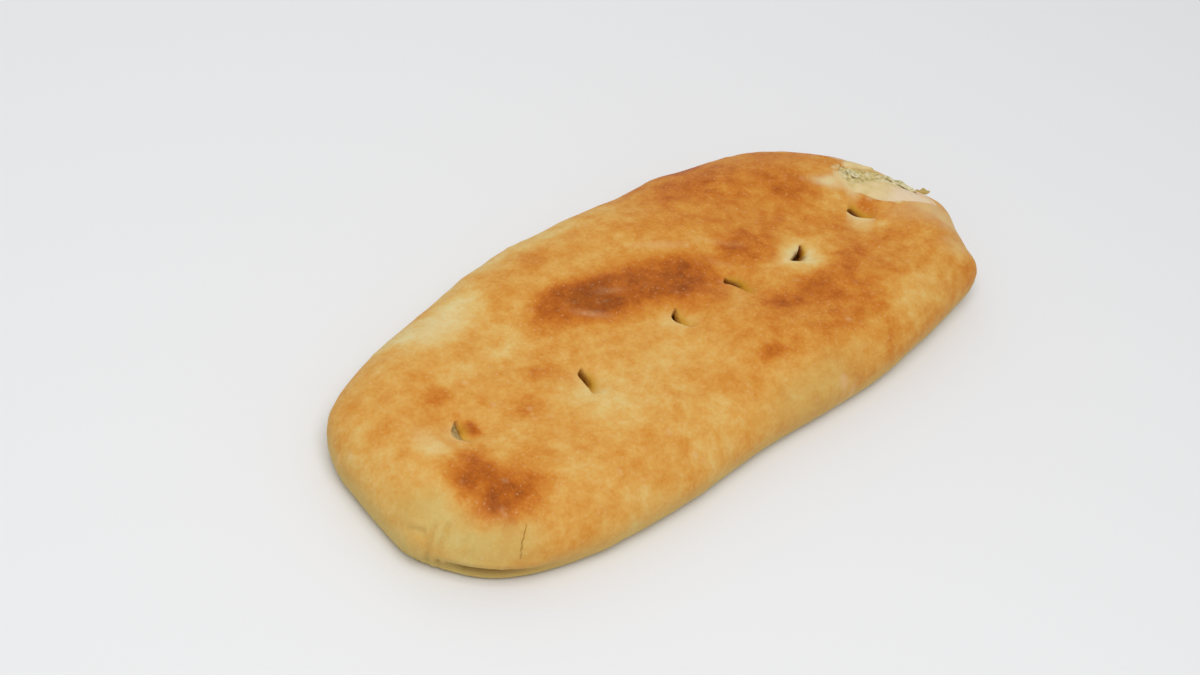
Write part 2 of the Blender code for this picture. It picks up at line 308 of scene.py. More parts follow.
def snip_slope(plan):
    """Each snip's tongue slopes down to its cut by e^(-distance), and its other lip stands up. The step
    between them lies inside the cut."""
    height = np.zeros(plan.shape[:-1])
    for snip, _, behind, half_gap, fade in snip_frames(plan):
        step = 1 / (1 + np.exp(-np.clip(behind / STEP_WIDTH, -40, 40)))
        tongue = np.exp(-np.maximum(behind - half_gap, 0) / TONGUE_LENGTH)
        lip = np.exp(-np.maximum(-behind - half_gap, 0) / LIP_WIDTH)
        height += fade * (LIP_RISE * lip * (1 - step) - snip.drop * tongue * step)
    return height


def snip_dips(plan):
    """Depth of the dips round the snips."""
    return sum(SNIP_DIP * dip(plan, (snip.x, snip.y), SNIP_DIP_RADIUS) for snip in SNIPS)


def crown(plan):
    """Height of the top skin: the loaf less a dip round each snip and the slump at the torn mouth."""
    slump = MOUTH_SLUMP * dip(plan, np.mean(MOUTH_CHORD, axis=0), MOUTH_SLUMP_RADIUS)
    return loaf(plan) - snip_dips(plan) - slump


def groove(degrees, height, bands=0.0):
    """A groove low on the edge, 1 deep, that fades to both ends, or one some bands higher: e^(-a² - h²)."""
    away = (degrees - FOLD_ANGLE) / FOLD_SPREAD
    return np.exp(-(away**2) - ((height - FOLD_HEIGHT) / FOLD_BAND - bands) ** 2)


def fold(turn, height):
    """How far the edge is drawn in at the fold, with the layer above it and the one below standing out."""
    degrees = np.degrees(turn)
    standing = sum(size * groove(degrees, height, bands) for size, bands in FOLD_LAYERS)
    return FOLD_DEPTH * groove(degrees, height) - standing


# Raised blisters of the skin: x, y, radius, height
BLISTERS = (
    (-0.1351, 0.0171, 0.0016, 0.0005),
    (-0.0871, 0.0111, 0.0018, 0.0004),
    (-0.0771, -0.0099, 0.002, 0.0004),
    (-0.0201, 0.0121, 0.0015, 0.0005),
    (0.0264, 0.0171, 0.0016, 0.0004),
    (0.0474, -0.0439, 0.0018, 0.0004),
    (0.0944, 0.0201, 0.002, 0.0006),
    (0.0979, 0.0151, 0.0014, 0.0005),
    (-0.1071, -0.0299, 0.0018, 0.0004),
    (-0.1151, -0.0394, 0.0014, 0.0003),
    (-0.0471, -0.0449, 0.0022, 0.0005),
    (-0.0441, -0.0549, 0.0018, 0.0005),
    (-0.0986, -0.0049, 0.0042, 0.0014),
)

# Small blisters: how many, and between what values of the same four
SMALL_BLISTERS = 380
SMALL_SPANS = ((-HALF_LENGTH, HALF_LENGTH), (-HALF_WIDTH, HALF_WIDTH), (0.0008, 0.0021), (0.00006, 0.00022))


def small_blisters():
    """Small blisters strewn about."""
    random = np.random.default_rng(5)
    return np.column_stack([random.uniform(low, high, SMALL_BLISTERS) for low, high in SMALL_SPANS])


def domes(plan, table):
    """Height of low domes (1 - r²)² over the blisters of a table."""
    height = np.zeros(plan.shape[:-1])
    for x, y, radius, rise in table:
        away = ((plan[..., 0] - x) ** 2 + (plan[..., 1] - y) ** 2) / radius**2
        height += rise * np.maximum(1 - away, 0) ** 2
    return height


# Short wrinkles at the -X end: both ends of each, x and y, and depth
WRINKLES = (
    (-0.1385, -0.0215, -0.1362, -0.0262, 0.0007),
    (-0.1368, -0.029, -0.1328, -0.0268, 0.0006),
    (-0.1345, -0.0318, -0.13, -0.03, 0.0006),
    (-0.1292, -0.0368, -0.1262, -0.0372, 0.0004),
)
WRINKLE_WIDTH = 0.0007

# Unevenness of the skin at four sizes: size, height and seed
SKIN_GRAINS = ((0.021, 0.00042, 1), (0.01, 0.00033, 2), (0.0045, 0.00013, 3), (0.0022, 0.00006, 4))

# Heights between which the relief fades in above the base
RELIEF_SPAN = (0.0004, 0.0045)


def wrinkles(plan):
    """Grooves e^(-r²) of the distance to each wrinkle's line, with a fold that stands up beside each."""
    height = np.zeros(plan.shape[:-1])
    for x0, y0, x1, y1, depth in WRINKLES:
        run = np.array([x1 - x0, y1 - y0])
        away = plan - np.array([x0, y0])
        share = np.clip(away @ run / (run @ run), 0, 1)
        off = away - share[..., None] * run
        side = (off @ np.array([-run[1], run[0]])) / np.linalg.norm(run) / WRINKLE_WIDTH
        ends = (off**2).sum(axis=-1) / WRINKLE_WIDTH**2 - side**2
        height += depth * np.exp(-ends) * (0.8 * np.exp(-((np.abs(side) - 2) ** 2)) - np.exp(-(side**2)))
    return height


def relief(points):
    """How far the skin stands out: uneven at four sizes, with its blisters and wrinkles."""
    plan = points[..., :2]
    uneven = grains(points, SKIN_GRAINS)
    return uneven + domes(plan, BLISTERS) + domes(plan, small_blisters()) + wrinkles(plan)


def surface_normals(points):
    """Outward directions of a grid that closes on its columns: the cross product of its two runs."""
    across = np.gradient(points, axis=0)
    round_it = np.roll(points, -1, axis=1) - np.roll(points, 1, axis=1)
    normal = np.cross(across, round_it)
    length = np.linalg.norm(normal, axis=-1, keepdims=True)
    return normal / np.maximum(length, 1e-12)


def crust_points():
    """Rows run from the middle line on top, over the shoulder and under the edge, to the middle line
    underneath. Height is the widest height plus the crown's rise times cosine^(2/p) on the shoulder, less
    the fall sine^(2/q) below the widest place."""
    over = np.linspace(0, np.pi / 2, SHOULDER_ROWS)[1:]
    under = np.linspace(0, np.pi / 2, UNDERSIDE_ROWS)[1:]
    top = np.linspace(0, 1, TOP_ROWS) * (1 - SHOULDER_SHARE)
    over_share = 1 - SHOULDER_SHARE * (1 - np.sin(over) ** (2 / SHOULDER_POWER))
    under_share = 1 - UNDERSIDE_SHARE * (1 - np.cos(under).clip(0) ** (2 / UNDERSIDE_POWER))
    share = np.concatenate([top, over_share, under_share, BASE_SHARES])
    base = np.ones(len(BASE_SHARES))
    rise = np.cos(over).clip(0) ** (2 / SHOULDER_POWER)
    rise = np.concatenate([np.ones(TOP_ROWS), rise, 0 * under, 0 * base])
    fall = np.concatenate([0 * top, 0 * over, np.sin(under) ** (2 / UNDERSIDE_POWER), base])
    turn = np.linspace(0, 2 * np.pi, AROUND, endpoint=False)
    share, turn = np.meshgrid(share, turn, indexing="ij")
    plan = ring(turn, share)
    height = WIDEST_HEIGHT + (crown(plan) - WIDEST_HEIGHT) * rise[:, None] - WIDEST_HEIGHT * fall[:, None]
    points = raised(ring(turn, share, np.where(share > 0.8, fold(turn, height), 0.0)), height)
    normal = surface_normals(points)
    flat = smooth(0.06, 0.02, share)[..., None]
    normal = normal * (1 - flat) + np.array([0, 0, 1]) * flat
    lift = smooth(*RELIEF_SPAN, points[..., 2])
    points = points + normal * (relief(points) * lift)[..., None]
    points[..., 2] += snip_slope(points[..., :2]) * (rise[:, None] > 0.9)
    return points


def pocket_points(gap):
    """The space inside the crust, drawn in by a gap on every side: a slab with a round edge, its top sunk
    with the dips round the snips."""
    turn = np.linspace(0, 2 * np.pi, POCKET_AROUND, endpoint=False)
    inner = POCKET_SHARE - POCKET_EDGE
    grid = []
    for step in np.linspace(0, 1, POCKET_ROWS)[:-1]:
        plan = ring(turn, np.full_like(turn, inner * step), gap)
        grid.append(raised(plan, loaf(plan) - snip_dips(plan) - LID - gap))
    for angle in np.linspace(0, np.pi, POCKET_EDGE_ROWS):
        plan = ring(turn, np.full_like(turn, inner + POCKET_EDGE * math.sin(angle)), gap)
        top = loaf(ring(turn, np.full_like(turn, inner), gap)) - LID - gap
        face = top if angle < np.pi / 2 else FLOOR + gap
        grid.append(raised(plan, POCKET_EDGE_HEIGHT + (face - POCKET_EDGE_HEIGHT) * abs(math.cos(angle))))
    grid.append(raised(ring(turn, np.zeros_like(turn)), FLOOR + gap))
    return np.array(grid)


def grid_faces(rows, columns):
    """Corner numbers of the quads of a grid whose columns close on themselves."""
    row, column = np.meshgrid(np.arange(rows - 1), np.arange(columns), indexing="ij")
    near = row * columns + column
    beside = row * columns + (column + 1) % columns
    return np.stack([near, near + columns, beside + columns, beside], axis=-1).reshape(-1, 4)


def linked(name, data):
    """A new object with this data, in the scene."""
    made = bpy.data.objects.new(name, data)
    bpy.context.scene.collection.objects.link(made)
    return made


# Edges sharper than this many degrees stay sharp
SHARP_ANGLE = 40


def closed_surface(name, points):
    """An object of a closed grid of points, its doubles merged, the faces that this leaves without area
    removed, and all faces turned outwards."""
    quads = grid_faces(*points.shape[:2])
    mesh = bpy.data.meshes.new(name)
    mesh.vertices.add(points.size // 3)
    mesh.vertices.foreach_set("co", points.reshape(-1))
    mesh.loops.add(quads.size)
    mesh.loops.foreach_set("vertex_index", quads.reshape(-1))
    mesh.polygons.add(len(quads))
    mesh.polygons.foreach_set("loop_start", np.arange(0, quads.size, 4))
    mesh.update(calc_edges=True)
    work = bmesh.new()
    work.from_mesh(mesh)
    bmesh.ops.remove_doubles(work, verts=work.verts, dist=1e-6)
    bmesh.ops.dissolve_degenerate(work, dist=1e-7, edges=work.edges)
    bmesh.ops.recalc_face_normals(work, faces=work.faces)
    work.to_mesh(mesh)
    work.free()
    mesh.shade_smooth()
    mesh.set_sharp_from_angle(angle=math.radians(SHARP_ANGLE))
    return linked(name, mesh)


def lens_points(chord, sides, floor, steps, wobble=0.0, top=None):
    """A block on a chord between two sides, which are a function of the place along it and may waver. Rows
    run along the chord and shut at its ends. Columns run across the top and back across the level floor. The
    top is level too, above the bread, or a function of the place along, the place across and the plan."""
    start, half, right = chord_frame(chord)
    along = np.linspace(-1, 1, steps[0] + 1)[:, None]
    across = np.linspace(0, 1, steps[1] + 1)[None, :]
    first, second = sides(along)
    bulge = first * (1 - across) + second * across
    plan = start + (1 + along)[..., None] * half + bulge[..., None] * right
    if wobble:
        shift = wobble * grain(raised(plan), WOBBLE_SIZE, 9) * (1 - along**2) * (1 - 2 * across)
        plan = plan + shift[..., None] * right
    upper = raised(plan, top(along, across, plan) if top else CUTTER_TOP)
    return np.concatenate([upper, raised(plan, floor)[:, ::-1]], axis=1)


def cut(body, name, points, operation="DIFFERENCE"):
    """Take a closed grid of points from the body, or join it on, and keep only the result."""
    cutter = closed_surface(name, points)
    change = body.modifiers.new(name, "BOOLEAN")
    change.operation = operation
    change.solver = "MANIFOLD"
    change.object = cutter
    shaped = body.evaluated_get(bpy.context.evaluated_depsgraph_get())
    mesh = bpy.data.meshes.new_from_object(shaped)
    body.modifiers.clear()
    body.data = mesh
    bpy.data.objects.remove(cutter, do_unlink=True)


def places(thing):
    """Vertex places of an object as an array."""
    mesh = thing.data
    flat = np.empty(len(mesh.vertices) * 3)
    mesh.vertices.foreach_get("co", flat)
    return flat.reshape(-1, 3)


def paint(thing, **looks):
    """Keep named values for each vertex, for the finishes to read."""
    for name, values in looks.items():
        layer = thing.data.attributes.new(name, "FLOAT", "POINT")
        layer.data.foreach_set("value", np.clip(values, 0, 1).astype(np.float32))


def mouth_frame(plan):
    """Place in the mouth: -1 to 1 along it, and 0 at its lip to 1 at its rim."""
    along, right = along_chord(plan, MOUTH_CHORD)
    within = np.maximum(1 - along**2, 0.02)
    return along, (MOUTH_INWARD - right / within) / (MOUTH_INWARD + MOUTH_OUTWARD)


# Browned patches: x, y, half length, half width, turn in degrees, strength
BROWNED = (
    (-0.036, 0.021, 0.012, 0.01, -15, 0.36),
    (-0.02, 0.017, 0.016, 0.011, -12, 0.4),
    (0.003, 0.012, 0.017, 0.011, -16, 0.44),
    (0.021, 0.006, 0.008, 0.012, 20, 0.18),
    (0.012, -0.004, 0.012, 0.009, 0, 0.24),
    (0.043, -0.004, 0.014, 0.004, 0, 0.12),
    (-0.015, 0.006, 0.016, 0.006, -10, 0.18),
    (-0.1207, 0.004, 0.006, 0.014, 0, 0.09),
    (0.025, 0.026, 0.008, 0.005, 0, 0.07),
    (-0.1105, -0.019, 0.009, 0.0082, 0, 0.34),
    (-0.1155, -0.029, 0.0098, 0.0108, 0, 0.33),
    (-0.109, -0.0375, 0.0105, 0.0072, 0, 0.3),
    (-0.103, -0.032, 0.0075, 0.0075, 0, 0.2),
    (-0.089, -0.024, 0.008, 0.005, 22, 0.14),
    (-0.078, -0.008, 0.007, 0.005, 0, 0.26),
    (-0.064, 0.001, 0.009, 0.004, -20, 0.16),
    (-0.098, 0.012, 0.007, 0.004, -20, 0.16),
    (0.05, -0.026, 0.014, 0.007, 0, 0.26),
    (0.031, -0.026, 0.009, 0.007, 0, 0.24),
    (0.073, -0.022, 0.014, 0.006, 5, 0.22),
    (0.055, -0.038, 0.03, 0.009, 6, 0.12),
    (0.011, -0.041, 0.006, 0.005, 0, 0.22),
    (0.056, 0.044, 0.014, 0.008, 8, 0.2),
    (0.065, 0.054, 0.01, 0.004, 0, 0.3),
    (0.086, 0.021, 0.01, 0.01, 0, 0.08),
    (0.044, 0.006, 0.012, 0.007, -10, 0.2),
    (0.034, 0.006, 0.007, 0.006, 0, 0.12),
    (0.034, 0.0555, 0.012, 0.004, 0, 0.16),
    (0.106, -0.006, 0.007, 0.004, 20, 0.06),
    (-0.025, 0.045, 0.006, 0.006, 0, 0.2),
    (0.02, 0.034, 0.007, 0.004, 0, 0.14),
    (0.075, 0.03, 0.042, 0.026, 0, 0.13),
    (0.06, -0.01, 0.06, 0.04, 0, 0.04),
    (0.0, -0.032, 0.032, 0.009, 0, 0.1),
    (0.06, -0.043, 0.012, 0.005, 0, 0.1),
    (-0.0984, -0.0052, 0.0042, 0.0042, 0, 0.44),
)

# Pale patches, in the same terms
PALE = (
    (-0.072, 0.038, 0.02, 0.01, 8, 0.36),
    (-0.083, 0.017, 0.011, 0.005, 0, 0.16),
    (-0.046, 0.028, 0.006, 0.005, 0, 0.18),
    (-0.028, 0.056, 0.042, 0.01, 0, 0.2),
    (0.094, 0.004, 0.012, 0.007, 0, 0.15),
    (0.097, -0.031, 0.014, 0.007, 0, 0.1),
    (-0.092, 0.044, 0.01, 0.006, 15, 0.2),
    (-0.063, 0.019, 0.011, 0.008, 0, 0.15),
    (-0.1165, -0.0045, 0.0055, 0.007, 0, 0.18),
    (-0.124, -0.02, 0.0032, 0.01, 8, 0.16),
    (-0.133, -0.027, 0.007, 0.011, 25, 0.2),
    (-0.126, -0.04, 0.008, 0.006, -35, 0.14),
    (-0.05, -0.018, 0.016, 0.009, 0, 0.16),
    (0.06, -0.01, 0.013, 0.008, 10, 0.4),
    (0.098, -0.012, 0.008, 0.005, -20, 0.24),
    (-0.001, -0.006, 0.006, 0.007, 0, 0.14),
    (0.09, -0.047, 0.022, 0.008, 8, 0.26),
    (0.024, -0.052, 0.03, 0.005, 0, 0.1),
    (-0.03, -0.03, 0.03, 0.008, 0, 0.08),
)

# Floury pale dough, in the same terms: two patches of the -X half, then those round the torn mouth, of which
# the long one at x 0.13, along the -Y corner of the +X end, is partly a painted pinkish rim highlight
PALE_DOUGH_AND_HIGHLIGHT = (
    (-0.074, 0.0365, 0.012, 0.006, 8, 0.34),
    (-0.1158, -0.0035, 0.0045, 0.0065, 0, 0.28),
    (0.1055, 0.012, 0.0075, 0.0048, -40, 0.62),
    (0.101, 0.015, 0.0058, 0.003, -20, 0.42),
    (0.13, -0.027, 0.016, 0.008, -63, 0.52),
    (0.119, -0.039, 0.008, 0.005, -10, 0.26),
    (0.118, -0.0175, 0.011, 0.008, -35, 0.24),
)

# Darkest core of the browned patches and the shade beside the second snip, in the same terms
DARKEST = (
    (-0.025, 0.0165, 0.0075, 0.005, -25, 0.3),
    (0.0592, -0.0104, 0.0032, 0.002, 8, 0.8),
)

# Light streaks of the skin, painted highlights, in the same terms
HIGHLIGHT_STREAKS = (
    (-0.015, 0.0155, 0.0055, 0.0016, -24, 0.22),
    (-0.0283, 0.0108, 0.0075, 0.0017, -44, 0.26),
    (0.019, 0.023, 0.011, 0.0018, -30, 0.3),
    (0.0375, 0.0125, 0.01, 0.0016, -50, 0.16),
    (0.031, 0.0035, 0.006, 0.0015, -62, 0.14),
    (0.03, -0.059, 0.0022, 0.0016, 0, 0.7),
    (0.035, -0.062, 0.0022, 0.0016, 0, 0.7),
)

# Olive dough low on the near corner of the -X end and on the near side, partly painted shade, in the same
# terms
OLIVE_DOUGH_AND_SHADE = (
    (0.016, -0.059, 0.024, 0.0085, 0, 0.45),
    (-0.1325, -0.026, 0.007, 0.016, 20, 0.65),
    (-0.12, -0.045, 0.013, 0.006, -30, 0.6),
)


def patches(plan, table):
    """Sum of the patches, each e^(-r^3.2) of the distance from its middle in half sizes."""
    total = np.zeros(plan.shape[:-1])
    for x, y, half_length, half_width, turn, strength in table:
        ahead = math.cos(math.radians(turn))
        aside = math.sin(math.radians(turn))
        along = ((plan[..., 0] - x) * ahead + (plan[..., 1] - y) * aside) / half_length
        across = ((plan[..., 1] - y) * ahead - (plan[..., 0] - x) * aside) / half_width
        total += strength * np.exp(-((along**2 + across**2) ** 1.6))
    return total


def rough_patches(points, table, shift, size, seed):
    """The patches of a table, their edges drawn about by grain."""
    return patches(points[:, :2] + shift * grain(points, size, seed)[:, None], table)


# The bake's ground and its rise towards +X, its cap and how softly that holds
GROUND = 0.38
GROUND_RISE = 0.11
BAKE_CAP = 0.87
BAKE_SOFTNESS = 0.04

# Grains of the bake's mottle, and those that draw the patches' edges about: size, strength and seed
COARSE_MOTTLE = ((0.013, 0.1, 15), (0.006, 0.08, 16))
FINE_MOTTLE = ((0.0045, 0.06, 18), (0.0026, 0.05, 19))
DRIFT_X = ((0.009, 0.0013, 11), (0.004, 0.0012, 13))
DRIFT_Y = ((0.009, 0.0013, 12), (0.004, 0.0012, 14))


def bake(points):
    """How browned the skin is, 0 to 1: a golden ground, deeper towards +X, with the patches on it, their
    edges drawn about by grain, and softly held under a cap: level less w·ln(1 + e^((level - cap)/w)). The
    mottle on it is finer too towards +X, and half as strong where the -X end is brown."""
    x = points[..., 0]
    drift = np.stack([grains(points, DRIFT_X), grains(points, DRIFT_Y)], axis=-1)
    near = points[..., :2] + drift
    towards = smooth(-0.04, 0.06, x)
    level = GROUND + GROUND_RISE * towards + patches(near, BROWNED) - patches(near, PALE)
    mottle = grains(points, COARSE_MOTTLE) + towards * grains(points, FINE_MOTTLE)
    mottle *= 1 - 0.5 * smooth(0.55, 0.8, level) * smooth(-0.06, -0.09, x)
    return level - BAKE_SOFTNESS * np.logaddexp(0, (level - BAKE_CAP) / BAKE_SOFTNESS) + mottle


# Hairline crack near the -X end: its points in order, depth and width
CRACK = ((-0.111, -0.045), (-0.1133, -0.0467), (-0.1157, -0.0485), (-0.1169, -0.05))
CRACK_DEPTH = 0.0009
CRACK_WIDTH = 0.00032
CRACK_WAVER = 0.00012


def crack_points(skin):
    """A thin blade along the crack, which wavers by the sines of 31 and 23 times the share of the way, with
    its lower edge a little under the skin. Rows run along it and shut at its ends."""
    way = np.linspace(0, 1, CRACK_POINTS)
    stops = np.linspace(0, 1, len(CRACK))
    middle = np.stack([np.interp(way, stops, np.array(CRACK)[:, axis]) for axis in (0, 1)], axis=-1)
    middle += CRACK_WAVER * np.stack([np.sin(31 * way), np.cos(23 * way)], axis=-1)
    upper = skin[: TOP_ROWS + SHOULDER_ROWS].reshape(-1, 3)
    nearest = ((upper[None, :, :2] - middle[:, None]) ** 2).sum(axis=-1).argmin(axis=1)
    height = upper[nearest, 2]
    half = (CRACK_WIDTH / 2 * arch(2 * way - 1))[:, None]
    near = middle + left_of(middle) * half
    far = middle - left_of(middle) * half
    floor = height - CRACK_DEPTH * arch(2 * way - 1, least=0.01)
    top = np.full(len(way), CUTTER_TOP)
    return np.stack([raised(near, top), raised(far, top), raised(far, floor), raised(near, floor)], axis=1)


def cut_crust():
    """The dough: skin with its relief, less the pocket, the torn mouth, the snips and the crack."""
    skin = crust_points()
    body = closed_surface("crust_dough", skin)
    cut(body, "pocket_cutter", pocket_points(0.0))
    mouth = lens_points(MOUTH_CHORD, mouth_sides, MOUTH_FLOOR, MOUTH_STEPS, MOUTH_WOBBLE)
    cut(body, "mouth_cutter", mouth)
    for number, snip in enumerate(SNIPS, start=1):
        floor = float(loaf(np.array([snip.x, snip.y]))) - LID - SNIP_REACH
        sides = partial(snip_sides, snip=snip)
        blade = lens_points(chord_of(snip), sides, floor, SNIP_STEPS, SNIP_WOBBLE)
        cut(body, f"snip_cutter_{number}", blade)
    cut(body, "crack_cutter", crack_points(skin))
    return body


# Places along the mouth between which its raw dough turns pink
PINK_SPAN = (0.1, 0.5)


def mouth_looks(points, below):
    """At the mouth: how torn, cream-coloured, brown and pink the dough is. It is raw inside, cream along the
    +Y half of its lip, and thinly so along the other half, which is a little browner."""
    along, across = mouth_frame(points[:, :2])
    ragged = across + 0.03 * grain(points, 0.003, 27)
    torn = smooth(-0.1, -0.06, across) * smooth(1.11, 1.03, ragged) * smooth(0.0004, 0.001, below)
    torn = torn * smooth(-0.88, -0.82, along) * (along < 1)
    broad = 0.9 * smooth(0.35, 0.0, -across) * (across < 0.2)
    broad = broad * smooth(-0.7, -0.56, along) * smooth(0.02, -0.22, along)
    far_half = smooth(-0.05, 0.2, along) * smooth(1.0, 0.8, along)
    thin = smooth(0, 0.05, across + 0.05 + 0.07 * grain(points, 0.0025, 25)) * (across < 0.2)
    brown = smooth(0.08, 0.02, -across) * (across < 0.02) * far_half
    return torn, np.maximum(broad, 0.8 * thin * far_half), brown, smooth(*PINK_SPAN, along)


# How far from a snip the moist look and painted shade of its slope and the cream of its lip reach
MOIST_LENGTH = 0.0046
CREAM_LENGTH = 0.0034


def snip_looks(points, below):
    """At the snips: how much painted shade, moist olive and cream the dough gets. Walls and the rim behind
    get painted shade, walls and the slope a moist olive that is partly painted shade, and the lip in front is
    cream."""
    dark = moist = cream = np.zeros(len(points))
    for snip, on, behind, half_gap, fade in snip_frames(points[:, :2]):
        wall = (np.abs(on) < 1.05) * (np.abs(behind) < half_gap + 0.0003) * smooth(0.0002, 0.0018, below)
        rim = (on > -1) * (behind > 0) * smooth(0.0014, 0.0003, np.abs(behind) - half_gap)
        # Painted shade on the walls of the cut, less towards its -Y tail, and on the rim behind it in its +Y
        # half
        dark = np.maximum(dark, snip.dark * wall * (1 - 0.7 * smooth(-0.2, 0.6, on)))
        dark = np.maximum(dark, snip.dark * rim * smooth(0.15, -0.25, on))
        # Moist olive on the tongue's slope and the walls, partly painted shade, weaker towards the -Y tail
        tail = 1 - 0.35 * smooth(-0.3, 0.8, on)
        slope = tail * fade**0.6 * smooth(MOIST_LENGTH, 0.0004, behind - half_gap) * (behind > 0)
        moist = np.maximum(moist, np.maximum(0.9 * wall, snip.dark * slope))
        lip = fade**0.4 * np.exp(-np.maximum(-behind - half_gap, 0) / CREAM_LENGTH) * (behind < 0)
        cream = np.maximum(cream, snip.pale * lip)
    return dark, moist, cream


def crust():
    """The cut dough with all that its finish reads. Its low edge is olive and partly painted shade, reaching
    higher at the -X end, and its blisters are light, as flour flecks and painted highlights, apart from the
    large browned one. Painted shade lies down the snips and in the fold's crease."""
    body = cut_crust()
    points = places(body)
    plan = points[:, :2]
    below = crown(plan) + snip_slope(plan) - points[:, 2]
    torn, mouth_cream, brown, pink = mouth_looks(points, below)
    dark, moist, snip_cream = snip_looks(points, below)
    pale = rough_patches(points, PALE_DOUGH_AND_HIGHLIGHT, 0.0012, 0.004, 17)
    away = (plan - PLAN_CENTRE) / (HALF_LENGTH, HALF_WIDTH)
    degrees = np.degrees(np.arctan2(away[:, 1], away[:, 0])) % 360
    # Painted shade in the fold's crease
    crease = 0.6 * groove(degrees, points[:, 2])
    # Darkest brown of the browned patches, and painted shade beside the second snip
    darkest_brown_and_shade = rough_patches(points, DARKEST, 0.0015, 0.005, 24)
    # Blisters lighter, as flour flecks and painted highlights
    light = smooth(0.00004, 0.00024, domes(plan, BLISTERS[:-1]) + domes(plan, small_blisters()))
    light = 0.42 * light * (0.7 + 0.6 * grain(points, 0.0012, 26))
    # Olive low on the edge, reaching higher at the -X end: partly the dough's tone, partly painted shade near
    # the floor
    end = 0.003 * smooth(-0.112, -0.134, plan[:, 0])
    low = smooth(0.0145 + end, 0.001 + end, points[:, 2])
    # Painted shade rides on dark and low, painted highlights on light and cream, besides the dough's own
    # tones
    paint(
        body,
        bake=bake(points) + 0.08 * brown,
        torn=torn,
        pink=pink,
        dark=np.maximum.reduce([dark, crease, darkest_brown_and_shade]),
        moist=moist,
        cream=np.maximum.reduce([mouth_cream, pale, snip_cream]),
        light=light + rough_patches(points, HIGHLIGHT_STREAKS, 0.0007, 0.003, 23),
        low=np.maximum(low, rough_patches(points, OLIVE_DOUGH_AND_SHADE, 0.0015, 0.005, 20)),
    )
    return body


def colour(red, green, blue):
    """A display colour of 0 to 255 as the linear one that shaders take."""
    share = np.array([red, green, blue]) / 255
    linear = np.where(share <= 0.04045, share / 12.92, ((share + 0.055) / 1.055) ** 2.4)
    return (*linear.tolist(), 1.0)


class Finish:
    """A material and short ways to add nodes to it."""

    def __init__(self, name):
        self.material = bpy.data.materials.new(name)
        self.material.use_nodes = True
        self.tree = self.material.node_tree
        self.shader = self.tree.nodes["Principled BSDF"]
        self.place = self.tree.nodes.new("ShaderNodeTexCoord").outputs["Object"]

    def put(self, socket, value):
        """Link an output to a socket, or set a constant on it."""
        if isinstance(value, bpy.types.NodeSocket):
            self.tree.links.new(value, socket)
        else:
            socket.default_value = value

    def fill(self, node, values):
        """Give a node's sockets their values, each by its name or number."""
        for socket, value in values.items():
            self.put(node.inputs[socket], value)

    def shade(self, values):
        """Give the shader's sockets their values."""
        self.fill(self.shader, values)

    def add(self, kind, values):
        """A new node of a kind, with the values of its sockets."""
        node = self.tree.nodes.new(f"ShaderNode{kind}")
        self.fill(node, values)
        return node

    def attribute(self, name):
        """A value painted on the vertices."""
        node = self.add("Attribute", {})
        node.attribute_name = name
        return node.outputs["Fac"]

    def noise(self, size, detail=2.0):
        """Noise of about this size in metres, from 0 to 1."""
        node = self.add("TexNoise", {"Vector": self.place, "Scale": 1 / size, "Detail": detail})
        return node.outputs["Fac"]

    def sum(self, first, second, operation="ADD", clamp=False):
        """Two values put together."""
        node = self.add("Math", {0: first, 1: second})
        node.operation = operation
        node.use_clamp = clamp
        return node.outputs[0]

    def span(self, value, low, high, start, end):
        """A value's span from low to high, laid on start to end."""
        spans = {"From Min": low, "From Max": high, "To Min": start, "To Max": end}
        return self.add("MapRange", {"Value": value, **spans}).outputs["Result"]

    def ramp(self, value, stops):
        """A colour for each value, blended between stops: places and display colours."""
        node = self.add("ValToRGB", {"Fac": value})
        stones = node.color_ramp.elements
        while len(stones) < len(stops):
            stones.new(0.5)
        for stone, (position, shade) in zip(stones, stops):
            stone.position = position
            stone.color = colour(*shade)
        return node.outputs["Color"]

    def mix(self, share, first, second):
        """Two colours mixed by a share."""
        node = self.add("Mix", {0: share})
        node.data_type = "RGBA"
        self.fill(node, {6: first, 7: second})
        return node.outputs[2]

    def bump(self, height, distance, strength):
        """Fine relief of this height in metres."""
        node = self.add("Bump", {"Height": height, "Distance": distance, "Strength": strength})
        self.shade({"Normal": node.outputs["Normal"]})

    def wear(self, thing):
        """Put this finish on an object."""
        thing.data.materials.clear()
        thing.data.materials.append(self.material)


# Tones of the skin by how browned it is
SKIN_TONES = (
    (0.0, (226, 204, 144)),
    (0.18, (224, 185, 108)),
    (0.34, (220, 164, 79)),
    (0.5, (212, 142, 52)),
    (0.66, (201, 119, 31)),
    (0.82, (182, 96, 12)),
    (1.0, (148, 72, 4)),
)


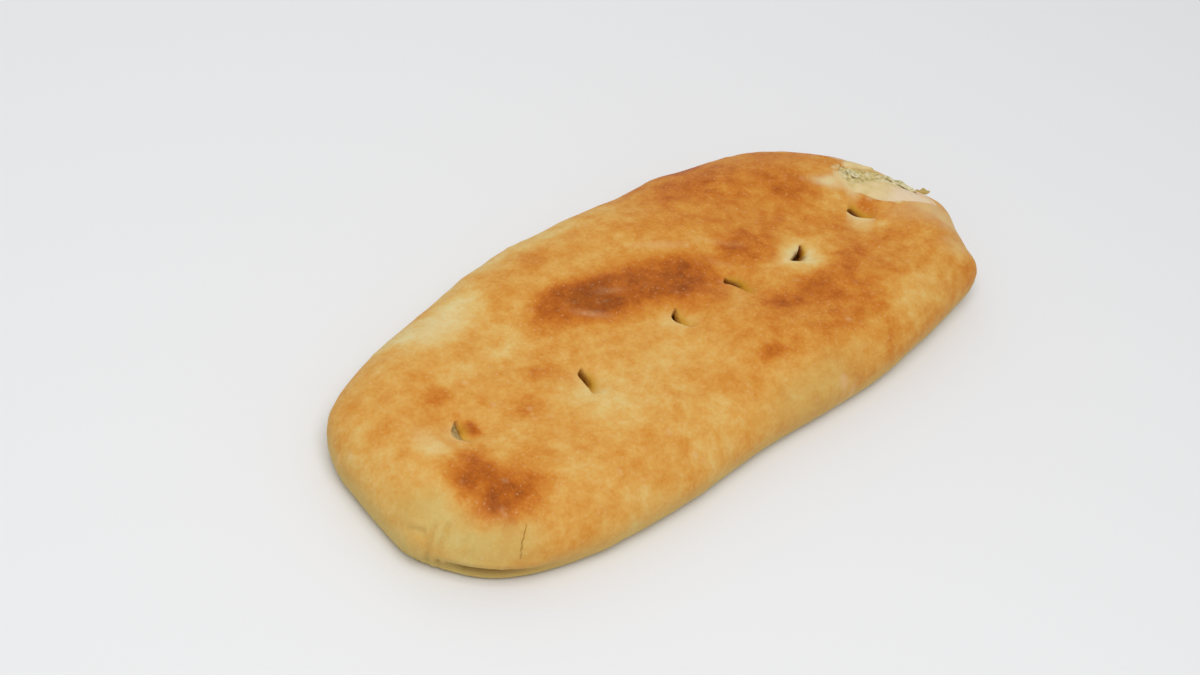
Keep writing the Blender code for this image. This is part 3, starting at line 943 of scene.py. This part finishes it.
def baked_dough():
    """Skin coloured by its bake, with grain, flecks that are partly painted highlights and a soft sheen on
    the brown, an olive low edge that is partly painted shade, moist olive and painted shade down the snips,
    painted shade in the fold's crease, and cream where it is torn, faintly pink towards the -Y end of the
    mouth."""
    finish = Finish("baked_dough_skin")
    broad = finish.span(finish.noise(0.0045, 3.0), 0.3, 0.7, -0.085, 0.085)
    small = finish.span(finish.noise(0.0013), 0.3, 0.7, -0.05, 0.05)
    level = finish.sum(finish.sum(finish.attribute("bake"), broad), small)
    skin = finish.ramp(level, SKIN_TONES)
    # Olive low edge, partly painted shade near the floor
    side = finish.mix(finish.span(finish.attribute("low"), 0, 1, 0, 0.85), skin, colour(202, 178, 104))
    # Cream and floury pale dough, with the painted rim highlight at the +X end
    pale = finish.mix(finish.attribute("cream"), side, colour(226, 202, 146))
    # Light flecks, partly flour and partly painted glints, with the painted highlights of blisters and
    # streaks
    fleck_and_glint = finish.span(finish.noise(0.0011), 0.62, 0.74, 0.0, 0.28)
    spots = finish.sum(finish.attribute("light"), 0.6, "MULTIPLY")
    flecked_and_glinting = finish.mix(finish.sum(fleck_and_glint, spots, "MAXIMUM"), pale, colour(236, 200, 152))
    # Moist olive down the snips, partly painted shade
    moist_and_shade = finish.attribute("moist")
    olive = finish.ramp(moist_and_shade, ((0.0, (212, 160, 70)), (0.45, (200, 150, 32)), (0.9, (172, 116, 4))))
    slope = finish.mix(finish.sum(moist_and_shade, 1.3, "MULTIPLY", clamp=True), flecked_and_glinting, olive)
    stops = ((0.3, (208, 182, 118)), (0.5, (225, 199, 141)), (0.7, (233, 207, 155)))
    cream = finish.ramp(finish.noise(0.005, 3.0), stops)
    raw = finish.mix(finish.attribute("pink"), cream, colour(232, 208, 174))
    opened = finish.mix(finish.attribute("torn"), slope, raw)
    rough = finish.span(level, 0.3, 0.8, 0.62, 0.5)
    uneven = finish.span(small, -0.05, 0.05, -0.06, 0.06)
    finish.shade(
        {
            # Painted shade down the snips and in the fold's crease, with the darkest brown, mixed in by the
            # dark value
            "Base Color": finish.mix(finish.attribute("dark"), opened, colour(112, 56, 0)),
            "Roughness": finish.sum(rough, uneven),
            "Subsurface Weight": 0.12,
            "Subsurface Radius": (0.0024, 0.0012, 0.0006),
            "Specular IOR Level": 0.17,
        }
    )
    finish.bump(finish.sum(finish.noise(0.0011, 3.0), finish.noise(0.003)), 0.00022, 0.8)
    return finish


def mouth_place(along, across):
    """Plan point at a place of the mouth, as mouth_frame gives it back."""
    start, half, right = chord_frame(MOUTH_CHORD)
    bulge = (MOUTH_INWARD - (MOUTH_INWARD + MOUTH_OUTWARD) * across) * (1 - along**2)
    return start + (1 + along)[..., None] * half + bulge[..., None] * right


def mouth_fill(along, across):
    """Height of the filling in the mouth: falls from lip to rim by across^p, level at the two ends."""
    middle = (LIP_HEIGHT + RIM_HEIGHT) / 2
    slope = LIP_HEIGHT + (RIM_HEIGHT - LIP_HEIGHT) * across**FALL_POWER - middle
    return middle + slope * (1 - along**4)


# Layers of torn dough in the mouth: places along it, where the layer starts across it, and where it ends
LIP_LAYER = (
    (-0.99, -0.2, 1.1),
    (-0.74, -0.12, 1.04),
    (-0.64, -0.11, 0.8),
    (-0.58, -0.1, 0.24),
    (-0.45, -0.1, 0.09),
    (-0.3, -0.1, 0.12),
    (-0.16, -0.08, 0.3),
    (-0.06, -0.04, 0.55),
    (0.06, 0.0, 0.7),
    (0.2, 0.02, 0.8),
    (0.4, 0.02, 0.84),
    (0.62, 0.03, 1.0),
    (0.76, 0.03, 1.18),
    (0.99, -0.05, 1.3),
)
RIM_LAYER = (
    (-0.9, 1.1, 0.66),
    (-0.74, 1.12, 0.64),
    (-0.6, 1.12, 0.66),
    (-0.45, 1.1, 0.74),
    (-0.32, 1.08, 0.84),
    (-0.22, 1.05, 0.92),
    (-0.14, 1.03, 1.0),
)

# Curds in the mouth: how many, the height at which their colour is full, and between what values of the
# place along, the place across, the radius and the height as a share of it
CURDS = 90
CURD_HEIGHT = 0.0006
CURD_SPANS = ((-0.7, 0.5), (0.15, 0.95), (0.0005, 0.0013), (0.3, 0.7))


def curd_middles():
    """Middles, radii and heights of the curds, strewn where the lip's layer doesn't cover them."""
    random = np.random.default_rng(21)
    along, across, radii, share = (random.uniform(low, high, CURDS) for low, high in CURD_SPANS)
    across = np.maximum(across, np.interp(along, *np.array(LIP_LAYER).T[[0, 2]]) + 0.03)
    return mouth_place(along, across), radii, radii * share


def curd_domes(plan, swell=1.0):
    """Highest of the domes √(1 - r²) over the curds, their radii swelled by a factor."""
    height = np.zeros(plan.shape[:-1])
    for middle, radius, rise in zip(*curd_middles()):
        away = ((plan - middle) ** 2).sum(axis=-1) / (radius * swell) ** 2
        height = np.maximum(height, rise * arch(away, 1))
    return height


def mouth_top(along, across, plan):
    """Top of the filling in the mouth, with curds and grain on it that fade at its edge."""
    edge = np.minimum(smooth(0, 0.12, across), smooth(1, 0.9, across)) * (1 - along**4)
    lumps = curd_domes(plan) + 0.00025 * grain(raised(plan), 0.002, 31)
    return mouth_fill(along, across) + lumps * edge


def plug_sides(along, snip):
    """Sides of a snip drawn in by a small gap, or by a part of its width where that is less."""
    lip, tongue = snip_sides(along, snip)
    inset = 0.4 * np.minimum(CLEARANCE, lip - tongue)
    return lip - inset, tongue + inset


def snip_top(along, across, plan):
    """Top of the filling that shows in a snip, under the skin and lower towards the tongue."""
    sunk = PLUG_SUNK + PLUG_SLOPE * across**2 * (1 - along**4)
    return crown(plan) - sunk + 0.0002 * grain(raised(plan), 0.0015, 33)


def filling():
    """The slab of cheese and herbs, joined to the part of it that swells up into the torn mouth and to the
    part that shows in the last snip."""
    body = closed_surface("cheese_filling", pocket_points(CLEARANCE))
    start, end = np.array(MOUTH_CHORD)
    inset = 2.5 * CLEARANCE * (end - start) / np.linalg.norm(end - start)
    chord = (start + inset, end - inset)
    sides = partial(mouth_sides, gap=3 * CLEARANCE)
    plug = lens_points(chord, sides, MOUTH_FLOOR + CLEARANCE, MOUTH_PLUG_STEPS, top=mouth_top)
    cut(body, "mouth_plug", plug, "UNION")
    last = SNIPS[-1]
    sides = partial(plug_sides, snip=last)
    plug = lens_points(chord_of(last), sides, PLUG_FLOOR, SNIP_PLUG_STEPS, top=snip_top)
    cut(body, "snip_plug", plug, "UNION")
    points = places(body)
    plan = points[:, :2]
    curd = curd_domes(plan, 1.05) / CURD_HEIGHT
    along, _ = mouth_frame(plan)
    # Painted shade on the filling where it shows at the foot of the snips, weaker towards their -Y tails
    dark = np.zeros(len(points))
    for snip, on, behind, half_gap, _ in snip_frames(plan):
        near = smooth(1.6, 1.0, np.abs(on)) * smooth(half_gap + 0.004, half_gap + 0.001, np.abs(behind))
        dark = np.maximum(dark, snip.dark * near * (1 - 0.5 * smooth(-0.2, 0.6, on)))
    paint(body, curd=curd * (np.abs(along) < 1), dark=dark)
    return body


def cheese_and_herbs():
    """Pale yellow herby cheese with darker spots and paler curds, moist, and with painted shade where it
    shows down the snips.
    """
    finish = Finish("cheese_and_herbs_moist")
    stops = ((0.34, (172, 150, 84)), (0.46, (204, 183, 118)), (0.62, (220, 201, 142)))
    herby = finish.ramp(finish.noise(0.0016, 3.0), stops)
    curd = finish.mix(finish.attribute("curd"), herby, colour(224, 208, 164))
    finish.shade(
        {
            # Painted shade down the snips, by the dark value
            "Base Color": finish.mix(finish.attribute("dark"), curd, colour(110, 58, 0)),
            "Roughness": finish.span(finish.noise(0.001), 0.3, 0.7, 0.42, 0.6),
            "Subsurface Weight": 0.15,
            "Subsurface Radius": (0.002, 0.0018, 0.001),
            "Specular IOR Level": 0.2,
        }
    )
    finish.bump(finish.noise(0.0006, 3.0), 0.0002, 0.8)
    return finish


def shut_ends(points):
    """Draw the first and the last row of a grid together, each to a point."""
    points[0] = points[0].mean(axis=0)
    points[-1] = points[-1].mean(axis=0)


# How far the torn layers reach down into the filling, and how much of the place along their ends take
LAYER_SUNK = 0.0006
LAYER_FADE = 0.06


def torn_layer(name, edges, thick, seed):
    """A ragged layer of dough over the filling. Rows run along the mouth and shut at both ends, columns
    run over its upper face and back under it. Its thickness is the given function of the place along and
    the share s of the way across, times √(1 - s⁸) towards its torn edge, with grain on it. It is baked at
    the +Y end and raw over the rest."""
    stops, starts, ends = np.array(edges).T
    along = np.linspace(stops[0], stops[-1], LAYER_POINTS[0])[:, None]
    share = np.linspace(0, 1, LAYER_POINTS[1])[None, :]
    ragged = 0.035 * grain(raised(np.repeat(along, 2, axis=1)), 0.09, seed)[:, None]
    start = np.interp(along, stops, starts)
    end = np.interp(along, stops, ends) + ragged
    across = start + (end - start) * share
    on = along + 0 * share
    plan = mouth_place(on, across)
    base = mouth_fill(on, np.clip(across, 0, 1))
    ends_fade = smooth(0, LAYER_FADE, along - stops[0]) * smooth(0, LAYER_FADE, stops[-1] - along)
    soft = grains(raised(plan), ((0.0045, 0.00022, seed + 1), (0.0018, 0.0001, seed + 2)))
    depth = (thick(on, share) + soft) * arch(share, 8) * ends_fade
    upper = raised(plan, base + depth)
    lower = raised(plan, base - LAYER_SUNK)[:, ::-1]
    points = np.concatenate([upper, lower], axis=1)
    shut_ends(points)
    layer = closed_surface(name, points)
    points = places(layer)
    on, _ = mouth_frame(points[:, :2])
    border = on + 0.1 * grain(points, 0.003, seed + 3)
    paint(layer, bake=bake(points), torn=smooth(-0.7, -0.56, border), pink=smooth(*PINK_SPAN, on))
    return layer


def lip_thickness(along, share):
    """Flush with the skin at the +Y half and lower than the lip at the other, with a low ridge between."""
    flush = smooth(0.3, -0.05, along)
    start = 0.0003 + 0.0008 * flush * smooth(0.0, 0.14, share)
    return start + 0.0006 * smooth(0.15, 0.75, share) * (1 - 0.6 * flush)


def rim_thickness(along, share):
    """A roll along the rim: √ of the way in from its outer edge."""
    return 0.0003 + 0.0012 * np.sqrt(smooth(0.0, 0.5, share)) + 0 * along


# Leaves in the mouth's own directions: start and end, each along and across, width, lift at start and end,
# and how deep the olive is
LEAVES = {
    "herb_leaf_long": ((0.02, 0.9), (0.58, 0.92), 0.0026, (0.0005, 0.0009), 0.0),
    "herb_leaf_tip": ((0.58, 0.98), (0.79, 1.38), 0.0036, (0.0005, 0.0011), 0.8),
    "herb_leaf_small": ((-0.5, 0.42), (-0.27, 0.45), 0.003, (0.0008, 0.0008), 0.0),
}
LEAF_THICKNESS = 0.0004
LEAF_WAVE = 0.0003


def leaf(name, start, end, width, lift, deep):
    """A thin wavy blade, pointed at both ends. Rows run along its middle line, columns over its upper face
    and back under it. Half its width is √(1 - s²) (1 + 0.4 s) of the share s, its middle creased down."""
    share = np.linspace(-1, 1, LEAF_POINTS[0])[:, None]
    way = (share + 1) / 2
    along = start[0] + (end[0] - start[0]) * way
    across = start[1] + (end[1] - start[1]) * way
    middle = mouth_place(along, across)[:, 0]
    side = np.linspace(-1, 1, LEAF_POINTS[1])[None, :]
    broad = arch(share) * (1 + 0.4 * share)
    half = width / 2 * broad * (1 + 0.16 * np.sin(9 * share + 2 * side))
    plan = middle[:, None] + (half * side)[..., None] * left_of(middle)[:, None]
    base = mouth_fill(along, np.minimum(across, 1.0)) + CLEARANCE + lift[0] + (lift[1] - lift[0]) * way
    height = base + LEAF_WAVE * np.sin(7 * share + side) - LEAF_WAVE * (1 - np.abs(side)) * (1 - share**2)
    thick = LEAF_THICKNESS * arch(share) * arch(side, 4, 0.04)
    points = np.concatenate([raised(plan, height + thick), raised(plan, height)[:, ::-1]], axis=1)
    shut_ends(points)
    blade = closed_surface(f"{name}_blade", points)
    paint(blade, deep=np.full(len(blade.data.vertices), deep))
    return blade


def herb_leaf():
    """Wilted pale olive leaf with darker spots, and a deep olive where its blade says so."""
    finish = Finish("herb_leaf_olive")
    stops = ((0.32, (168, 156, 102)), (0.5, (212, 199, 150)), (0.68, (232, 220, 182)))
    wilted = finish.ramp(finish.noise(0.0014, 3.0), stops)
    base = finish.mix(finish.attribute("deep"), wilted, colour(182, 144, 44))
    finish.shade({"Base Color": base, "Roughness": 0.42})
    finish.bump(finish.noise(0.0007), 0.00012, 0.7)
    return finish


def floor():
    """A wide pale floor, its middle at the origin."""
    reach = 3.0
    corners = [(-reach, -reach, 0), (reach, -reach, 0), (reach, reach, 0), (-reach, reach, 0)]
    mesh = bpy.data.meshes.new("floor")
    mesh.from_pydata(corners, [], [(0, 1, 2, 3)])
    made = linked("floor", mesh)
    finish = Finish("pale_floor")
    finish.shade({"Base Color": colour(238, 238, 238), "Roughness": 0.6})
    finish.wear(made)


def lamp(name, place, size, watts):
    """A square soft light that faces the bread."""
    light = bpy.data.lights.new(name, "AREA")
    light.shape = "SQUARE"
    light.size = size
    light.energy = watts
    made = linked(name, light)
    made.location = place
    made.rotation_euler = (-Vector(place)).to_track_quat("-Z", "Y").to_euler()


# The photograph's view: the eye, the directions of its right and back, and the lens and sensor in mm
EYE = (-0.48345, -0.3375, 0.5187)
EYE_RIGHT = (0.701, -0.6945, 0.1619)
EYE_BACK = (-0.5997, -0.4513, 0.6608)
LENS = 66.0
SENSOR = 36.0


def camera():
    """The photograph's view."""
    data = bpy.data.cameras.new("camera")
    data.sensor_width = SENSOR
    data.lens = LENS
    made = linked("camera", data)
    back = Vector(EYE_BACK).normalized()
    up = back.cross(Vector(EYE_RIGHT).normalized()).normalized()
    turned = Matrix((up.cross(back), up, back)).transposed().to_4x4()
    made.matrix_world = Matrix.Translation(EYE) @ turned
    bpy.context.scene.camera = made


def surroundings():
    """Pale even light from all round."""
    world = bpy.data.worlds.new("studio")
    bpy.context.scene.world = world
    world.use_nodes = True
    backdrop = world.node_tree.nodes["Background"]
    backdrop.inputs["Color"].default_value = (0.97, 0.98, 1.0, 1.0)
    backdrop.inputs["Strength"].default_value = 0.52
    bpy.context.scene.view_settings.view_transform = "Standard"


def place_piece(piece, finish, slot, *nodes):
    """Ride a piece on the bread, in its finish, standing for its nodes."""
    finish.wear(piece)
    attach(piece, "root")
    if nodes:
        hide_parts(*nodes)


dough = baked_dough()
place_piece(crust(), dough, "baked_dough", "crust")
place_piece(filling(), cheese_and_herbs(), "cheese_and_herbs", "filling")
place_piece(torn_layer("torn_lip_layer", LIP_LAYER, lip_thickness, 41), dough, "baked_dough")
place_piece(torn_layer("torn_rim_layer", RIM_LAYER, rim_thickness, 51), dough, "baked_dough")
olive = herb_leaf()
for leaf_name, leaf_values in LEAVES.items():
    place_piece(leaf(leaf_name, *leaf_values), olive, "herb_leaf", leaf_name)
floor()
lamp("key", (-0.35, -0.3, 1.15), 0.9, 8.1)
lamp("back", (0.5, 0.8, 0.6), 0.9, 1.0)
surroundings()
camera()
